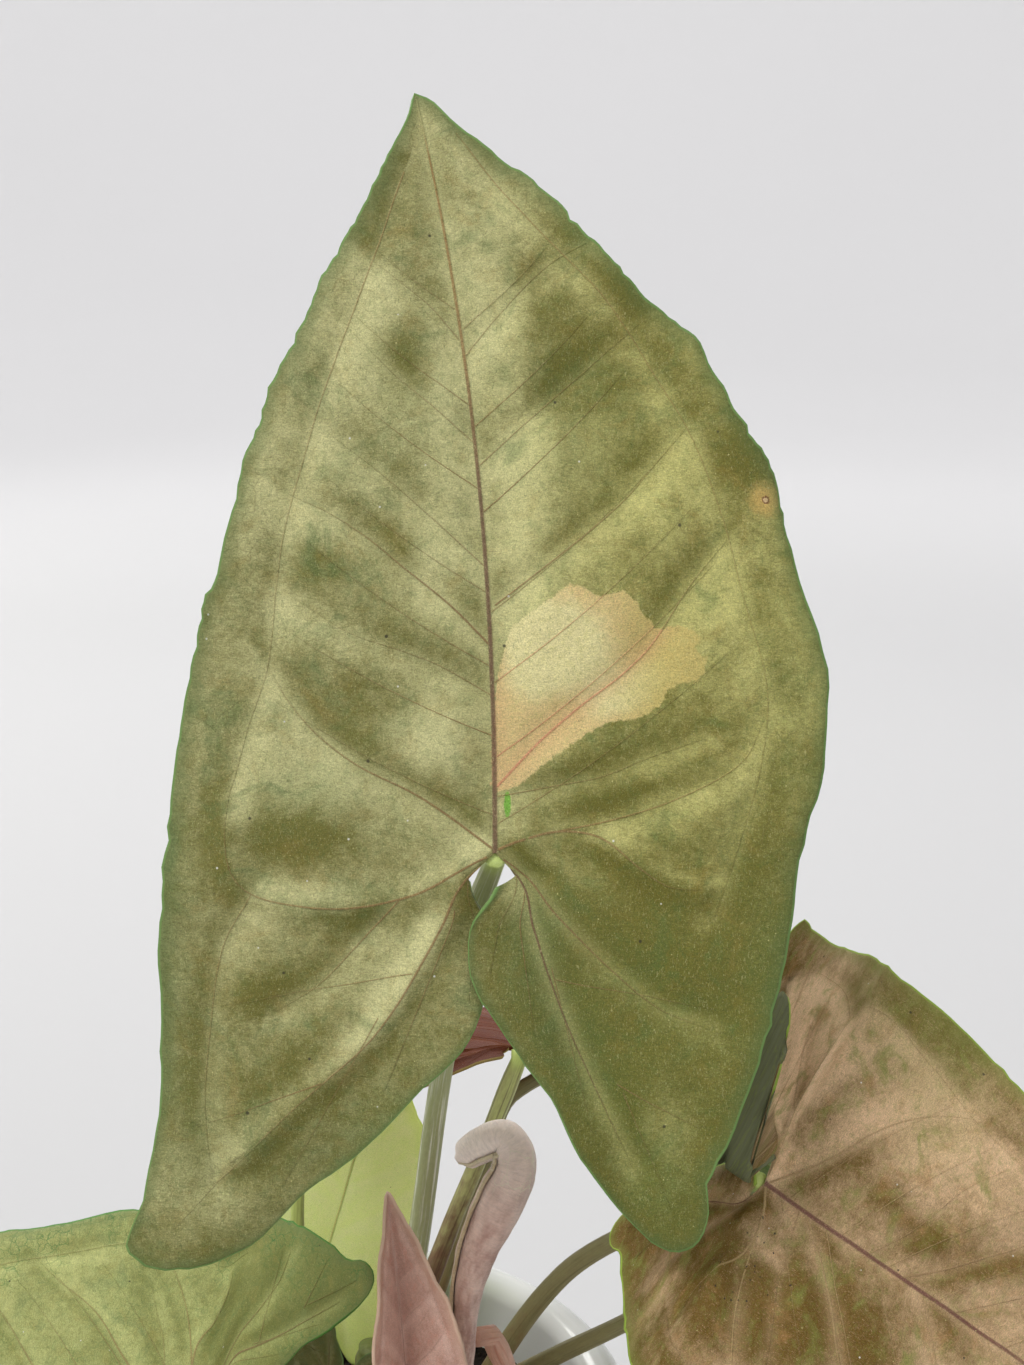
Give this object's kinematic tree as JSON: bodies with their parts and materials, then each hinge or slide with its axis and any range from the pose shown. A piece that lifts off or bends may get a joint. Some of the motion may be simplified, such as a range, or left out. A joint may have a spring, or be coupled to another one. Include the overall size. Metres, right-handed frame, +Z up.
{
  "type": "potted arrowhead plant",
  "caption": "Arrowhead plant with arrow-shaped mottled leaves on slender petioles, growing from soil in a white glazed pot.",
  "frame": {"origin": "centre of the pot's flat foot, on the surface that the pot stands on", "axes": "+Z up along the pot's axis, -Y towards the viewer of the large front leaf, +X to that viewer's right"},
  "size_m": [0.2525, 0.1718, 0.3394],
  "materials": {
    "pot_glaze": "smooth white glaze",
    "potting_soil": "rough dark potting soil",
    "stem": "dull, ringed",
    "olive_leaf": "satin olive, mottled, fine fibrous grain",
    "bronze_leaf": "satin bronze",
    "netted_leaf": "satin green with a fine dark net",
    "lime_leaf": "thin bright yellow-green",
    "brown_leaf": "satin brown-pink",
    "green_leaf": "satin green",
    "pink_leaf": "soft pink young leaf",
    "olive_petiole": "satin olive",
    "lime_petiole": "satin yellow-green",
    "brown_petiole": "satin brown-pink",
    "peach_petiole": "satin peach"
  },
  "bodies": {
    "root": {"pot": "pot_glaze", "soil": "potting_soil", "stem_a": "stem", "stem_b": "stem", "stem_c": "stem", "front_blade": "olive_leaf", "front_petiole": "olive_petiole", "right_blade": "bronze_leaf", "right_petiole": "olive_petiole", "left_blade": "netted_leaf", "left_petiole": "lime_petiole", "lime_blade": "lime_leaf", "lime_petiole": "lime_petiole", "behind_blade": "brown_leaf", "behind_petiole": "brown_petiole", "low_right_blade": "green_leaf", "low_right_petiole": "olive_petiole", "back_right_blade": "olive_leaf", "back_right_petiole": "olive_petiole", "back_left_blade": "bronze_leaf", "back_left_petiole": "lime_petiole", "back_blade": "green_leaf", "back_petiole": "olive_petiole", "low_blade": "olive_leaf", "low_petiole": "lime_petiole", "folded_blade": "pink_leaf", "folded_petiole": "peach_petiole", "rolled_blade": "pink_leaf", "rolled_petiole": "peach_petiole"}
  },
  "joints": []
}
